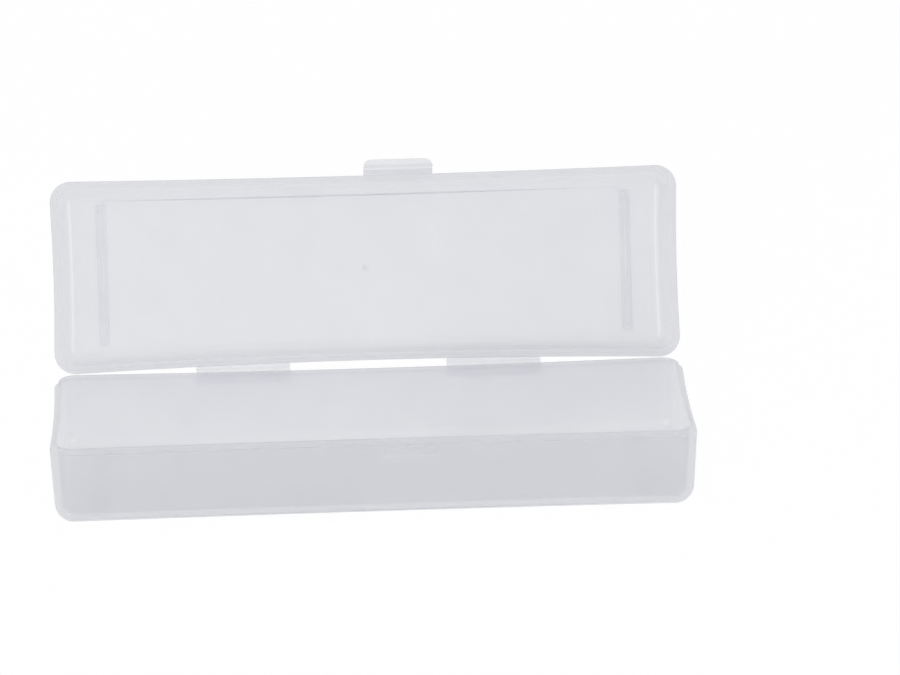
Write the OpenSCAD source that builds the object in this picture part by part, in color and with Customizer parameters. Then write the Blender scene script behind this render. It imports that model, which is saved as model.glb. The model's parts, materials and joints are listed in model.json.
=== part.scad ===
// Hinged harmonica case in translucent polypropylene: a tray and a lid joined by
// two living hinges, closed by a snap latch on the front.
// Origin at the middle of the tray's underside, X along the case, front towards -Y.

/* [Case] */
// Length over the rim
body_w = 120; // [90:1:200]
// Depth over the rim, front to back
body_d = 36.8; // [30:0.1:80]
// Height of the tray from its underside to the parting plane
tray_h = 14.7; // [10:0.1:40]
// Depth of the lid from the parting plane to its top
lid_h = 12; // [9:0.1:40]
// Thickness of the walls, floor and lid top
wall = 1.4; // [1.1:0.1:2]
// Radius of the upright corners at the rim
corner_r = 4; // [2:0.5:8]
// Outer radius between walls and floor, and between walls and lid top
edge_r = 3.5; // [2:0.1:5]
// How far the walls lean in from rim to floor
draft = 0.6; // [0.2:0.1:1.5]
// How far the lid is swung up from its closed position
open_angle = 110; // [60:1:140]

/* [Wall bow] */
// How far the hinge wall is drawn in at mid-length
hinge_bow = 1; // [0.6:0.1:1.6]
// How far the front wall is drawn in at mid-length
front_bow = 0.4; // [0:0.1:1]
// How far the end walls are drawn in at mid-depth
end_bow = 0.3; // [0:0.1:0.6]

/* [Rim] */
// Height of the tray's locating lip above the parting plane
lip_h = 1; // [0.6:0.1:2]
// Thickness of the locating lip
lip_t = 0.6; // [0.4:0.1:0.8]
// Clearance between lid and tray all round the closed rim
rim_gap = 0.12; // [0.05:0.01:0.2]
// Chamfer that eases the outer edge of each rim
rim_ease = 0.15; // [0.05:0.05:0.3]

/* [Hinge] */
// Width of each hinge strap
strap_w = 18; // [8:1:24]
// Distance of each strap's centre from the middle of the case
strap_x = 24; // [14:1:30]
// Thickness of the flexing film
film_t = 0.3; // [0.2:0.05:0.4]
// Distance of the hinge line behind the rim's corners
pivot_gap = 0.5; // [0.3:0.05:1]
// Flat length of the film between its two leaves
film_l = 1.2; // [0.9:0.1:2]
// Height of each hinge leaf
leaf_h = 1.8; // [1.2:0.1:3]

/* [Latch] */
// Distance of the latch to the right of the middle of the case
latch_x = 6.7; // [-30:0.1:30]
// Width of the latch tab
latch_w = 13.2; // [8:0.2:30]
// Reach of the tab in front of the rim
latch_reach = 3; // [2.9:0.1:6]
// Thickness of the tab
latch_t = 1; // [0.8:0.1:1.2]
// How far the tab hangs below the parting plane
latch_drop = 3; // [2.6:0.1:6]
// Radius of the tab's outer corners
latch_r = 1.5; // [0.5:0.1:3]
// How far the hook's nose stands in from the tab
hook_reach = 0.6; // [0.4:0.05:0.8]
// Height of the hook's nose
hook_h = 1.1; // [0.8:0.1:1.6]
// Clearance between the hook's nose and the catch above it
hook_gap = 0.15; // [0.1:0.05:0.3]
// Clearance between the catch and the inside of the tab
catch_gap = 0.25; // [0.15:0.05:0.35]
// Height of the tab's plate above the parting plane
latch_rise = 0.7; // [0.5:0.1:2]
// How far the pad at the tab's root stands out of the lid
pad_t = 0.45; // [0.3:0.05:0.6]
// Clearance between the pad and the tab's rounded root
pad_gap = 0.1; // [0.05:0.05:0.15]
// Width of the catch on the tray
catch_w = 10; // [6:0.5:20]
// Height of the catch
catch_h = 1.3; // [0.8:0.1:1.6]

/* [Locating ribs] */
// Distance of each rib from the rim's end
rib_end = 8.6; // [7:0.1:30]
// Thickness of a rib
rib_t = 1.4; // [0.6:0.1:2]
// Height of a rib above the floor or lid top
rib_h = 0.7; // [0.4:0.1:3]
// Share of a rib's thickness left at its crest
rib_taper = 0.5; // [0.3:0.05:1]
// Distance of a rib's ends from the floor's rounded edges
rib_end_gap = 0.4; // [0.2:0.1:2]

/* [Moulding] */
// Diameter of the gate dimple in the tray's underside
gate_d = 4; // [2:0.5:8]
// Depth of the gate dimple
gate_depth = 0.3; // [0.1:0.05:0.5]

/* [Hidden] */
$fn = 48;

frosted = [0.86, 0.88, 0.9];
frosted_thick = [0.8, 0.83, 0.87];
film_white = [0.93, 0.94, 0.96];

corner_steps = 8;
end_steps = 4;
long_steps = 10;
edge_steps = 6;
least_r = 0.4;
cut = 1;

inner_r = edge_r - wall;
ledge_w = wall - lip_t;
skirt_t = ledge_w - rim_gap;
lid_rise = lid_h - rim_gap;
closed_h = tray_h + lid_h;

pivot_y = body_d / 2 + pivot_gap;
leaf_y = pivot_y - film_l / 2;
pivot_z = tray_h + rim_gap / 2;
root_drop = (rim_gap + film_t) / 2;

front_y = -body_d / 2 + front_bow;
tab_y = front_y - latch_reach;
tab_inner_y = tab_y + latch_t;
plate_z = tray_h + latch_rise + latch_t / 2;
latch_pivot_y = front_y - pad_t - pad_gap - latch_t / 2;
hook_top = tray_h - latch_drop + hook_h;
catch_floor = hook_top + hook_gap;

rib_x = body_w / 2 - rib_end - rib_t / 2;
rib_along = rib_x / (body_w / 2 - corner_r);
rib_edge = body_d / 2 - draft - edge_r - rib_end_gap;
rib_front_y = bow(rib_along, front_bow) - rib_edge;
rib_back_y = rib_edge - bow(rib_along, hinge_bow);

// Lean of the wall at height z, where the rim stands at height h
function lean(z, h) = draft * (1 - z / h);

// Inward bow at t, which runs from -1 at one end of a side to 1 at the other
function bow(t, most) = most * (1 - t * t);

function corner(x, y, r, start) = [
    for (i = [0 : corner_steps]) let (a = start + 90 * i / corner_steps) [x + r * cos(a), y + r * sin(a)]
];

// Plan outline of the case, drawn in from the rim by inset, as one closed loop
function outline(inset) =
    let (
        a = body_w / 2 - inset,
        b = body_d / 2 - inset,
        r = max(corner_r - inset, least_r),
        x = a - r,
        y = b - r,
        along = [for (i = [1 : long_steps - 1]) 2 * i / long_steps - 1],
        across = [for (i = [1 : end_steps - 1]) 2 * i / end_steps - 1]
    )
    concat(
        corner(x, -y, r, -90), [for (t = across) [a - bow(t, end_bow), t * y]],
        corner(x, y, r, 0), [for (t = along) [-t * x, b - bow(t, hinge_bow)]],
        corner(-x, y, r, 90), [for (t = across) [-a + bow(t, end_bow), -t * y]],
        corner(-x, -y, r, 180), [for (t = along) [t * x, -b + bow(t, front_bow)]]
    );

// Outer face of a shell from the middle of its floor radius up to its rim, as [inset, z]
function outer_rings(h) = concat(
    [
        for (i = [0 : edge_steps])
            let (a = 90 * i / edge_steps, z = edge_r * (1 - cos(a)))
            [lean(z, h) + edge_r * (1 - sin(a)), z]
    ],
    [[0, h - rim_ease]]
);

// Inner face of a shell from its wall down to its floor
function inner_rings(h) = [
    for (i = [edge_steps : -1 : 0])
        let (a = 90 * i / edge_steps, z = wall + inner_r * (1 - cos(a)))
        [wall + lean(z, h) + inner_r * (1 - sin(a)), z]
];

// Solid whose sections are the outline at each [inset, z] in turn
module loft(rings) {
    n = len(outline(0));
    last = len(rings) - 1;
    points = [for (ring = rings) for (p = outline(ring[0])) [p[0], p[1], ring[1]]];
    sides = [
        for (k = [0 : last - 1]) for (i = [0 : n - 1])
            let (j = (i + 1) % n, a = k * n + i, b = k * n + j, c = a + n, d = b + n)
            each [[a, c, d], [a, d, b]]
    ];
    floor_face = [for (i = [0 : n - 1]) i];
    top_face = [for (i = [n - 1 : -1 : 0]) last * n + i];
    polyhedron(points, concat([floor_face], sides, [top_face]), convexity = 8);
}

// Filled outer form of a shell, carried on past its rim, to cut what stands against it
module outer_form(h) {
    loft(concat(outer_rings(h), [[0, h + cut]]));
}

// Turns a lid-shaped piece from underside-down to its closed place over the tray
module over_tray() {
    translate([0, 0, closed_h]) mirror([0, 0, 1]) children();
}

// Swings a closed piece of the lid up about the hinge line
module swung_open() {
    translate([0, pivot_y, pivot_z]) rotate([-open_angle, 0, 0])
        translate([0, -pivot_y, -pivot_z]) children();
}

// Extrudes a side profile, drawn as (Y, Z), across width w centred on x
module across_case(x, w) {
    translate([x, 0, 0]) rotate([90, 0, 90]) linear_extrude(w, center = true) children();
}

module tray() {
    color(frosted) difference() {
        loft(concat(
            outer_rings(tray_h),
            [
                [rim_ease, tray_h], [ledge_w, tray_h],
                [ledge_w, tray_h + lip_h], [wall, tray_h + lip_h],
            ],
            inner_rings(tray_h)
        ));
        translate([0, 0, -cut]) cylinder(d = gate_d, h = cut + gate_depth);
    }
}

// Lid shell lying on its top, rim upwards
module lid_shell() {
    loft(concat(
        outer_rings(lid_rise),
        [
            [rim_ease, lid_rise], [skirt_t, lid_rise],
            [skirt_t, lid_rise - lip_h], [wall, lid_rise - lip_h],
        ],
        inner_rings(lid_rise)
    ));
}

module lid() {
    color(frosted) swung_open() over_tray() lid_shell();
}

// Low tapered rib across the flat of a shell's floor
module rib(side) {
    foot = rib_t / 2;
    crest = foot * rib_taper;
    translate([side * rib_x, rib_back_y, wall]) rotate([90, 0, 0]) linear_extrude(rib_back_y - rib_front_y)
        polygon([[-foot, 0], [foot, 0], [crest, rib_h], [-crest, rib_h]]);
}

module tray_rib(side) {
    color(frosted_thick) rib(side);
}

module lid_rib(side) {
    color(frosted_thick) swung_open() over_tray() rib(side);
}

// Side profile of a hinge leaf, from inside the wall out to the film's root
module leaf_profile(top) {
    inner_y = body_d / 2 - hinge_bow - draft - cut;
    translate([inner_y, top - leaf_h]) square([leaf_y - inner_y, leaf_h]);
}

module tray_hinge_leaf(side) {
    color(frosted_thick) difference() {
        across_case(side * strap_x, strap_w) leaf_profile(tray_h);
        outer_form(tray_h);
    }
}

module lid_hinge_leaf(side) {
    color(frosted_thick) swung_open() over_tray() difference() {
        across_case(side * strap_x, strap_w) leaf_profile(lid_rise);
        outer_form(lid_rise);
    }
}

// Film curved in one arc from the tray's leaf to the lid's leaf at the opened angle
module hinge_film(side) {
    root_r = norm([film_l / 2, root_drop]);
    bend_r = root_r * sin(open_angle / 2 + atan(2 * root_drop / film_l)) / cos(open_angle / 2);
    bend = 180 - open_angle;
    color(film_white)
        translate([side * strap_x - strap_w / 2, leaf_y, pivot_z - root_drop + bend_r])
            rotate([90, 0, 90]) rotate([0, 0, -90])
                rotate_extrude(angle = bend)
                    translate([bend_r - film_t / 2, 0]) square([film_t, strap_w]);
}

// Catch bar on the tray's front wall, sloped on top so that the hook rides over it
module latch_catch() {
    nose_y = tab_inner_y + catch_gap;
    color(frosted_thick) difference() {
        across_case(latch_x, catch_w) polygon([
            [nose_y, catch_floor],
            [front_y + draft + cut, catch_floor],
            [front_y + draft + cut, catch_floor + catch_h],
            [front_y, catch_floor + catch_h],
            [nose_y, catch_floor + catch_h / 2],
        ]);
        outer_form(tray_h);
    }
}

// Fixed root of the latch, standing out of the lid's front wall
module latch_bridge() {
    root_y = front_y - pad_t;
    color(frosted_thick) swung_open() difference() {
        across_case(latch_x, latch_w) translate([root_y, plate_z - latch_t / 2])
            square([front_y + draft + cut - root_y, latch_t]);
        over_tray() outer_form(lid_rise);
    }
}

// Flexing tab: plate forwards, flap downwards and the hook's nose at its foot
module latch_tab() {
    color(frosted) swung_open() intersection() {
        across_case(latch_x, latch_w) {
            translate([latch_pivot_y, plate_z]) circle(d = latch_t);
            translate([tab_y + latch_t / 2, plate_z - latch_t / 2])
                square([latch_pivot_y - tab_y - latch_t / 2, latch_t]);
            translate([tab_y + latch_t / 2, plate_z]) circle(d = latch_t);
            translate([tab_y, tray_h - latch_drop]) square([latch_t, plate_z - tray_h + latch_drop]);
            polygon([
                [tab_y + latch_t / 2, tray_h - latch_drop],
                [tab_inner_y, tray_h - latch_drop],
                [tab_inner_y + hook_reach, hook_top - hook_h / 3],
                [tab_inner_y + hook_reach, hook_top],
                [tab_y + latch_t / 2, hook_top],
            ]);
        }
        tab_plan();
    }
}

// Plan of the tab with its two outer corners rounded
module tab_plan() {
    round_x = latch_w / 2 - latch_r;
    translate([latch_x, 0, tray_h - latch_drop - cut]) linear_extrude(latch_drop + lid_h) {
        translate([-latch_w / 2, tab_y + latch_r]) square([latch_w, latch_reach + cut]);
        translate([-round_x, tab_y]) square([2 * round_x, latch_r + cut]);
        for (side = [-1, 1]) translate([side * round_x, tab_y + latch_r]) circle(r = latch_r);
    }
}

tray();
tray_rib(-1);  // tray_rib_left
tray_rib(1);  // tray_rib_right
latch_catch();
tray_hinge_leaf(-1);  // tray_hinge_leaf_left
tray_hinge_leaf(1);  // tray_hinge_leaf_right
hinge_film(-1);  // hinge_film_left
hinge_film(1);  // hinge_film_right
lid();
lid_rib(-1);  // lid_rib_left
lid_rib(1);  // lid_rib_right
lid_hinge_leaf(-1);  // lid_hinge_leaf_left
lid_hinge_leaf(1);  // lid_hinge_leaf_right
latch_bridge();
latch_tab();
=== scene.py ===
import json
import math
import bmesh
import bpy
from mathutils import Matrix, Vector


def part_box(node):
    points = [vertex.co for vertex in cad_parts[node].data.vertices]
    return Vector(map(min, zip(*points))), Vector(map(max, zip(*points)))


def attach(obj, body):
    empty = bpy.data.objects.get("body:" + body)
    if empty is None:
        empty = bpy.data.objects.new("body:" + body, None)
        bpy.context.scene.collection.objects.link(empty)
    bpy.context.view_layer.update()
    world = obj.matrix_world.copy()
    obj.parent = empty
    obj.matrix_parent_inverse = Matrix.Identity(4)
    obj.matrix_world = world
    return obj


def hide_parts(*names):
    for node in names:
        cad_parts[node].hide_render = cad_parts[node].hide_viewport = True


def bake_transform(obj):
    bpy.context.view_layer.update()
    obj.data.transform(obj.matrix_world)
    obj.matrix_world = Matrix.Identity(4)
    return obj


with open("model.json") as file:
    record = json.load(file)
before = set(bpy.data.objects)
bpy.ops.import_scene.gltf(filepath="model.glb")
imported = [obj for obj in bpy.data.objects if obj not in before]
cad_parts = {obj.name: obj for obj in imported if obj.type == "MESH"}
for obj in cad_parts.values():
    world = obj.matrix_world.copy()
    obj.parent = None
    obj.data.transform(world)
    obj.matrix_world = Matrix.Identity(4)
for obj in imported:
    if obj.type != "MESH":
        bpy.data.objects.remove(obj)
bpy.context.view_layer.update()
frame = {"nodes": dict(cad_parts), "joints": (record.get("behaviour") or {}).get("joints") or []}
scene = bpy.context.scene

# Tray
# The lower half of the case and the part that stands on the table: one thin
# injection-moulded shell of natural polypropylene, milky in itself and satin from a
# finely blasted mould. The whole case is moulded in one shot.
MM = 0.001


def polypropylene(name, thin, thick, clouds, clear, milk):
    """Natural polypropylene: cloudy inside, with the mould's satin grain on its skin.

    thin and thick are the tints of its clearer and its milkier clouds, clouds is how many
    of them there are to a metre, clear is the share of light that goes straight
    through a face, and milk is the share of the rest that comes through scattered.
    """
    material = bpy.data.materials.new(name)
    material.use_nodes = True
    nodes, links = material.node_tree.nodes, material.node_tree.links
    skin = nodes["Principled BSDF"]
    skin.inputs["IOR"].default_value = 1.49
    scattered = nodes.new("ShaderNodeBsdfTranslucent")
    straight = nodes.new("ShaderNodeBsdfTransparent")
    body = nodes.new("ShaderNodeMixShader")
    body.inputs[0].default_value = milk
    wall = nodes.new("ShaderNodeMixShader")
    wall.inputs[0].default_value = clear
    where = nodes.new("ShaderNodeTexCoord")

    cloud = nodes.new("ShaderNodeTexNoise")
    cloud.inputs["Scale"].default_value = clouds
    cloud.inputs["Detail"].default_value = 5
    cloud.inputs["Distortion"].default_value = 0.5
    tint = nodes.new("ShaderNodeValToRGB")
    tint.color_ramp.interpolation = "EASE"
    tint.color_ramp.elements[0].position = 0.15
    tint.color_ramp.elements[0].color = (*thin, 1)
    tint.color_ramp.elements[1].position = 0.85
    tint.color_ramp.elements[1].color = (*thick, 1)
    links.new(where.outputs["Object"], cloud.inputs["Vector"])
    links.new(cloud.outputs["Fac"], tint.inputs["Fac"])
    for shader, socket in ((skin, "Base Color"), (scattered, "Color"), (straight, "Color")):
        links.new(tint.outputs["Color"], shader.inputs[socket])

    satin = nodes.new("ShaderNodeMapRange")
    satin.inputs["To Min"].default_value = 0.2
    satin.inputs["To Max"].default_value = 0.3
    links.new(cloud.outputs["Fac"], satin.inputs["Value"])
    links.new(satin.outputs["Result"], skin.inputs["Roughness"])

    grain = nodes.new("ShaderNodeTexNoise")
    grain.inputs["Scale"].default_value = 2200
    grain.inputs["Detail"].default_value = 2
    bump = nodes.new("ShaderNodeBump")
    bump.inputs["Strength"].default_value = 0.08
    bump.inputs["Distance"].default_value = 0.05 * MM
    links.new(where.outputs["Object"], grain.inputs["Vector"])
    links.new(grain.outputs["Fac"], bump.inputs["Height"])
    links.new(bump.outputs["Normal"], skin.inputs["Normal"])

    links.new(skin.outputs["BSDF"], body.inputs[1])
    links.new(scattered.outputs["BSDF"], body.inputs[2])
    links.new(body.outputs["Shader"], wall.inputs[1])
    links.new(straight.outputs["BSDF"], wall.inputs[2])
    links.new(wall.outputs["Shader"], nodes["Material Output"].inputs["Surface"])
    return material


def dress(name, plastic, rounding=0.0):
    """Gives a moulded solid its plastic, smooth faces between creases, and eased edges."""
    solid = frame["nodes"][name]
    solid.data.materials.clear()
    solid.data.materials.append(plastic)
    if solid.data.has_custom_normals:
        solid.data.attributes.remove(solid.data.attributes["custom_normal"])
    for face in solid.data.polygons:
        face.use_smooth = True
    weld = solid.modifiers.new("weld", "WELD")
    weld.merge_threshold = 0.002 * MM
    if rounding:
        ease = solid.modifiers.new("ease", "BEVEL")
        ease.width = rounding
        ease.segments = 2
        ease.limit_method = "ANGLE"
        ease.angle_limit = math.radians(30)
    crease = solid.modifiers.new("crease", "EDGE_SPLIT")
    crease.split_angle = math.radians(32)


CLOUDS_TO_A_METRE = 140
shell_plastic = polypropylene(
    "frosted_shell", thin=(0.92, 0.925, 0.942), thick=(0.937, 0.941, 0.955),
    clouds=CLOUDS_TO_A_METRE, clear=0.45, milk=0.58,
)
dress("tray", shell_plastic)

# Gate mark under the tray
# The plastic enters the mould in the middle of the floor. The gate leaves a broken pip
# there, sunk in a dimple so that the tray stands flat.
DIMPLE = 0.3 * MM
PIP_D = 1.1 * MM
TRAY_PIP_TIP_D = 0.7 * PIP_D
PIP_ROOT = 0.05 * MM


def gate_pip(name, foot, top_d, foot_d, height, body, at_rest=Matrix()):
    """The broken stub of a gate, as a low cone from foot upwards."""
    bm = bmesh.new()
    bmesh.ops.create_cone(
        bm, cap_ends=True, segments=48, radius1=foot_d / 2, radius2=top_d / 2, depth=height,
        matrix=at_rest @ Matrix.Translation(Vector(foot) + Vector((0, 0, height / 2))),
    )
    bmesh.ops.recalc_face_normals(bm, faces=bm.faces)
    mesh = bpy.data.meshes.new(name)
    bm.to_mesh(mesh)
    bm.free()
    pip = bpy.data.objects.new(name, mesh)
    scene.collection.objects.link(pip)
    mesh.materials.append(shell_plastic)
    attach(pip, body)


gate_pip(
    "tray_gate_pip", foot=(0, 0, 2 * PIP_ROOT), top_d=PIP_D, foot_d=TRAY_PIP_TIP_D,
    height=DIMPLE - PIP_ROOT, body="tray_body",
)

# Lid
# The upper half of the case: the same thin shell with a skirt that goes over the
# tray's lip. Its own gate leaves a low pip in the middle of its outer face.
dress("lid", shell_plastic)
hinge = next(joint for joint in frame["joints"] if joint["name"] == "lid_hinge")
pivot = Vector(hinge["pos_m"])
OPENED = math.radians(-hinge["range_deg"][0])
CLOSED_H = 26.7 * MM
LID_PIP_TIP_D = 0.8 * PIP_D
LID_PIP_H = 0.17 * MM
swung_open = (
    Matrix.Translation(pivot) @ Matrix.Rotation(-OPENED, 4, "X") @ Matrix.Translation(-pivot)
)
gate_pip(
    "lid_gate_pip", foot=(0, 0, CLOSED_H - PIP_ROOT), top_d=LID_PIP_TIP_D, foot_d=PIP_D,
    height=LID_PIP_H, body="lid_body", at_rest=swung_open,
)

# Locating ribs
# Low ribs across both floors, near their ends, locate what the case holds. They are part
# of the moulding and swell out of the floor in soft coves, with no seam round them.
# The ribs are the shell's plastic given lighter tints: painted light, so that they show as soft
# light bands instead of the shade that their extra layers of plastic give them.
painted_light_rib_plastic = polypropylene(
    "frosted_rib_painted_lighter", thin=(0.975, 0.977, 0.985), thick=(0.988, 0.989, 0.994),
    clouds=CLOUDS_TO_A_METRE, clear=0.82, milk=0.6,
)
RIB_W = 2.2 * MM
RIB_END = 1.6 * MM
RIB_ROOT = 0.02 * MM
RIB_SKIN = 0.3 * MM
# The lid's floor faces the tray's when the case is shut. So each lid rib is the opposite
# tray rib turned over, and then swung open with the lid.
over_tray = Matrix.Translation((0, 0, CLOSED_H)) @ Matrix.Rotation(math.pi, 4, "Y")


def eased(part):
    """Goes from 0 to 1 as part does, but sets off and arrives level."""
    part = min(max(part, 0), 1)
    return part * part * (3 - 2 * part)


for name, shaped_as, body, at_rest in (
    ("tray_rib_left", "tray_rib_left", "tray_body", Matrix()),
    ("tray_rib_right", "tray_rib_right", "tray_body", Matrix()),
    ("lid_rib_left", "tray_rib_right", "lid_body", swung_open @ over_tray),
    ("lid_rib_right", "tray_rib_left", "lid_body", swung_open @ over_tray),
):
    lowest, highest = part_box(shaped_as)
    middle = (lowest + highest) / 2
    foot_z = lowest.z - RIB_ROOT
    bm = bmesh.new()
    bmesh.ops.create_grid(
        bm, x_segments=16, y_segments=90, size=0.5,
        matrix=Matrix.Translation((middle.x, middle.y, foot_z))
        @ Matrix.Diagonal((RIB_W, highest.y - lowest.y, 1, 1)),
    )
    for vert in bm.verts:
        flank = 1 - abs(vert.co.x - middle.x) / (RIB_W / 2)
        end = min(vert.co.y - lowest.y, highest.y - vert.co.y) / RIB_END
        vert.co.z += (highest.z - foot_z) * eased(flank) * eased(end)
    bm.transform(at_rest)
    mesh = bpy.data.meshes.new(f"{name}_swell")
    bm.to_mesh(mesh)
    bm.free()
    mesh.shade_smooth()
    swell = bpy.data.objects.new(f"{name}_swell", mesh)
    scene.collection.objects.link(swell)
    mesh.materials.append(painted_light_rib_plastic)
    sunk = swell.modifiers.new("sunk", "SOLIDIFY")
    sunk.thickness = RIB_SKIN
    sunk.offset = -1
    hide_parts(name)
    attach(swell, body)

# Latch catch
# A solid bar moulded on the tray's front wall. The latch's hook rides over its sloped
# top and snaps under the square edge below.
# These tints are lighter than the shell's, though it is the same plastic: painted light, which
# lifts the latch parts and the hinge leaves out of the shade they would show.
PAINTED_LIGHTER_TINTS = {"thin": (0.965, 0.968, 0.98), "thick": (0.978, 0.98, 0.99)}
painted_light_latch_plastic = polypropylene(
    "frosted_latch_painted_lighter", **PAINTED_LIGHTER_TINTS, clouds=CLOUDS_TO_A_METRE, clear=0.53, milk=0.62
)
dress("latch_catch", painted_light_latch_plastic, rounding=0.12 * MM)

# Hinge leaves
# The thick roots of the two straps, moulded onto the back walls of the tray and the
# lid just under their rims. They carry the load from the films into the walls.
# The leaves take the lighter tints above: painted light, so that they show less dark through the
# back walls.
painted_light_leaf_plastic = polypropylene(
    "frosted_leaf_painted_lighter", **PAINTED_LIGHTER_TINTS, clouds=CLOUDS_TO_A_METRE, clear=0.6, milk=0.75
)
for half in ("tray", "lid"):
    for side in ("left", "right"):
        dress(f"{half}_hinge_leaf_{side}", painted_light_leaf_plastic, rounding=0.15 * MM)

# Hinge films
# The flexing part of each strap: the same plastic pressed to a 0.3 mm film between
# the two leaves. It bends round the hinge line. Its tints are lighter than the shell's,
# in finer clouds: painted light, which keeps the strap from showing dark behind the wall.
painted_light_film_plastic = polypropylene(
    "film_painted_lighter", thin=(0.95, 0.954, 0.966), thick=(0.98, 0.98, 0.988),
    clouds=400, clear=0.5, milk=0.7,
)
FILM_T = 0.3 * MM
BEND_STEPS = 16
for side in ("left", "right"):
    lowest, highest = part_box(f"hinge_film_{side}")
    root_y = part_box(f"tray_hinge_leaf_{side}")[1].y
    bend = math.pi - OPENED
    bend_r = (highest.y - root_y) / math.sin(bend) - FILM_T / 2
    root = Vector(((lowest.x + highest.x) / 2, root_y, lowest.z + FILM_T / 2))
    bend_centre = root + Vector((0, 0, bend_r))
    bm = bmesh.new()
    across = Matrix.Diagonal((highest.x - lowest.x, FILM_T, 1, 1))
    bmesh.ops.create_grid(
        bm, x_segments=24, y_segments=1, size=0.5,
        matrix=Matrix.Translation(root) @ Matrix.Rotation(math.pi / 2, 4, "X") @ across,
    )
    bmesh.ops.spin(
        bm, geom=bm.verts[:] + bm.edges[:] + bm.faces[:], axis=(1, 0, 0), cent=bend_centre,
        angle=bend, steps=BEND_STEPS,
    )
    bmesh.ops.remove_doubles(bm, verts=bm.verts, dist=0.001 * MM)
    bmesh.ops.recalc_face_normals(bm, faces=bm.faces)
    mesh = bpy.data.meshes.new(f"film_strap_{side}")
    bm.to_mesh(mesh)
    bm.free()
    strap = bpy.data.objects.new(f"film_strap_{side}", mesh)
    scene.collection.objects.link(strap)
    mesh.materials.append(painted_light_film_plastic)
    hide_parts(f"hinge_film_{side}")
    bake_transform(strap)

# Latch
# A pad at the lid's front rim holds the sprung tab, which bends at its root when
# a fingertip lifts it, and carries the hook that snaps under the tray's catch.
dress("latch_bridge", painted_light_latch_plastic, rounding=0.08 * MM)
dress("latch_tab", painted_light_latch_plastic, rounding=0.15 * MM)

# Latch root
# Pad and tab are one piece of plastic. This is the short length between them that
# bends as the tab is lifted, and springs back when it is let go.
LATCH_W = 13.16 * MM
ROOT_T = 0.96 * MM
ROOT_L = 0.8 * MM
BEND_CUTS = 7
latch_flex = next(joint for joint in frame["joints"] if joint["name"] == "latch_flex")
tab_end = swung_open.inverted() @ Vector(latch_flex["pos_m"])
pad_end = tab_end + Vector((0, ROOT_L, 0))
bm = bmesh.new()
bmesh.ops.create_cube(
    bm, size=1,
    matrix=Matrix.Translation((tab_end + pad_end) / 2)
    @ Matrix.Diagonal((LATCH_W, ROOT_L, ROOT_T, 1)),
)
along = [
    edge for edge in bm.edges
    if abs(edge.verts[0].co.y - edge.verts[1].co.y) > ROOT_L / 2
]
bmesh.ops.subdivide_edges(bm, edges=along, cuts=BEND_CUTS, use_grid_fill=True)
bm.transform(swung_open)
mesh = bpy.data.meshes.new("latch_root")
bm.to_mesh(mesh)
bm.free()
latch_root = bpy.data.objects.new("latch_root", mesh)
scene.collection.objects.link(latch_root)
mesh.materials.append(painted_light_latch_plastic)
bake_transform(latch_root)

# Table
# A plain white sweep, a hair below the tray's floor. It takes the case's shadow, and
# shows near white to the camera and through the plastic.
TABLE_REACH = 3
TABLE_DROP = 0.05 * MM
bm = bmesh.new()
bmesh.ops.create_grid(
    bm, x_segments=1, y_segments=1, size=TABLE_REACH,
    matrix=Matrix.Translation((0, 0, -TABLE_DROP)),
)
mesh = bpy.data.meshes.new("table")
bm.to_mesh(mesh)
bm.free()
table = bpy.data.objects.new("table", mesh)
scene.collection.objects.link(table)
paper = bpy.data.materials.new("white_paper")
paper.use_nodes = True
mesh.materials.append(paper)


def seen_by_eye_or_plastic(nodes, links):
    """1 for what the camera sees straight, mirrored or through the plastic, else 0."""
    path = nodes.new("ShaderNodeLightPath")
    mirrored = nodes.new("ShaderNodeMath")
    mirrored.operation = "MAXIMUM"
    through = nodes.new("ShaderNodeMath")
    through.operation = "MAXIMUM"
    links.new(path.outputs["Is Camera Ray"], mirrored.inputs[0])
    links.new(path.outputs["Is Glossy Ray"], mirrored.inputs[1])
    links.new(mirrored.outputs[0], through.inputs[0])
    links.new(path.outputs["Is Transmission Ray"], through.inputs[1])
    return through.outputs[0]


nodes, links = paper.node_tree.nodes, paper.node_tree.links
nodes.clear()
sheet = nodes.new("ShaderNodeBsdfDiffuse")
sheet.inputs["Color"].default_value = (0.9, 0.9, 0.9, 1)
glow = nodes.new("ShaderNodeEmission")
glow.inputs["Strength"].default_value = 1.1
share = nodes.new("ShaderNodeMath")
share.operation = "MULTIPLY"
share.inputs[1].default_value = 0.8
mix = nodes.new("ShaderNodeMixShader")
out = nodes.new("ShaderNodeOutputMaterial")
links.new(seen_by_eye_or_plastic(nodes, links), share.inputs[0])
links.new(share.outputs[0], mix.inputs[0])
links.new(sheet.outputs[0], mix.inputs[1])
links.new(glow.outputs[0], mix.inputs[2])
links.new(mix.outputs[0], out.inputs["Surface"])

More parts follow.
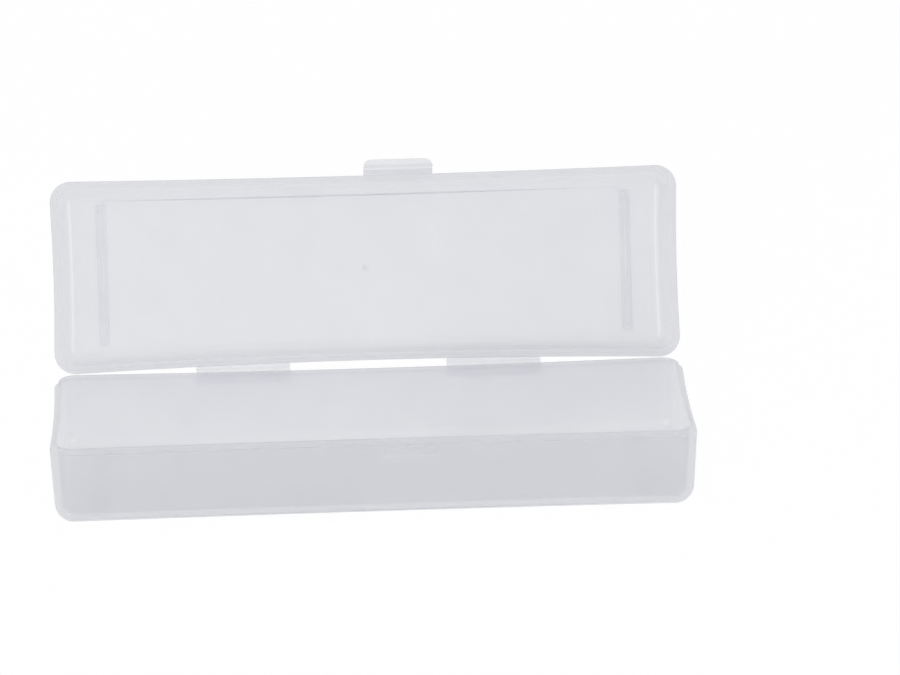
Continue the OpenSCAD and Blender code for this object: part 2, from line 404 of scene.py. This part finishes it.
# Studio
# An even white room with one broad soft lamp below the camera, and two tall narrow
# lamps beside it that only draw the bright lines in the rounded corners.
world = bpy.data.worlds.new("studio")
scene.world = world
world.use_nodes = True
nodes, links = world.node_tree.nodes, world.node_tree.links
level = nodes.new("ShaderNodeMapRange")
level.inputs["To Min"].default_value = 0.62
level.inputs["To Max"].default_value = 1.0
nodes["Background"].inputs["Color"].default_value = (1, 1, 1, 1)
links.new(seen_by_eye_or_plastic(nodes, links), level.inputs["Value"])
links.new(level.outputs["Result"], nodes["Background"].inputs["Strength"])

LAMP_H = 0.7
LAMPS_AIM = Vector((0, 0, 0.02))
for name, stands, watts, wide, lights_up in (
    ("key", (-0.25, -1.05, 0.24), 1.45, 0.6, True),
    ("strip_left", (-0.68, -0.66, 0.3), 9.0, 0.05, False),
    ("strip_right", (0.7, -0.66, 0.3), 9.0, 0.05, False),
):
    lamp = bpy.data.objects.new(name, bpy.data.lights.new(name, "AREA"))
    scene.collection.objects.link(lamp)
    lamp.data.energy = watts
    lamp.data.shape = "RECTANGLE"
    lamp.data.size = wide
    lamp.data.size_y = LAMP_H
    lamp.visible_diffuse = lights_up
    lamp.visible_transmission = lights_up
    lamp.location = stands
    lamp.rotation_mode = "QUATERNION"
    lamp.rotation_quaternion = (LAMPS_AIM - Vector(stands)).to_track_quat("-Z", "Y")

# Camera
# It looks down on the case from the front, a little to the left of its middle,
# through a long lens that nearly keeps the case's edges parallel.
azimuth, elevation, roll = math.radians(2.33), math.radians(22.72), math.radians(-0.82)
looks_at = Vector((0.01491, 0, 0.0285))
DISTANCE = 0.8776
level_reach = math.cos(elevation)
forward = Vector(
    (math.sin(azimuth) * level_reach, math.cos(azimuth) * level_reach, -math.sin(elevation))
)
level_right = Vector((math.cos(azimuth), -math.sin(azimuth), 0))
level_up = level_right.cross(forward)
right = level_right * math.cos(roll) + level_up * math.sin(roll)
up = level_up * math.cos(roll) - level_right * math.sin(roll)
camera = bpy.data.objects.new("camera", bpy.data.cameras.new("camera"))
scene.collection.objects.link(camera)
turn = Matrix((right, up, -forward)).transposed().to_4x4()
camera.matrix_world = Matrix.Translation(looks_at - forward * DISTANCE) @ turn
camera.data.lens = 187.7
camera.data.sensor_width = 36
camera.data.clip_start = 0.05
camera.data.clip_end = 20
camera.data.dof.use_dof = False
scene.camera = camera
scene.view_settings.view_transform = "Standard"
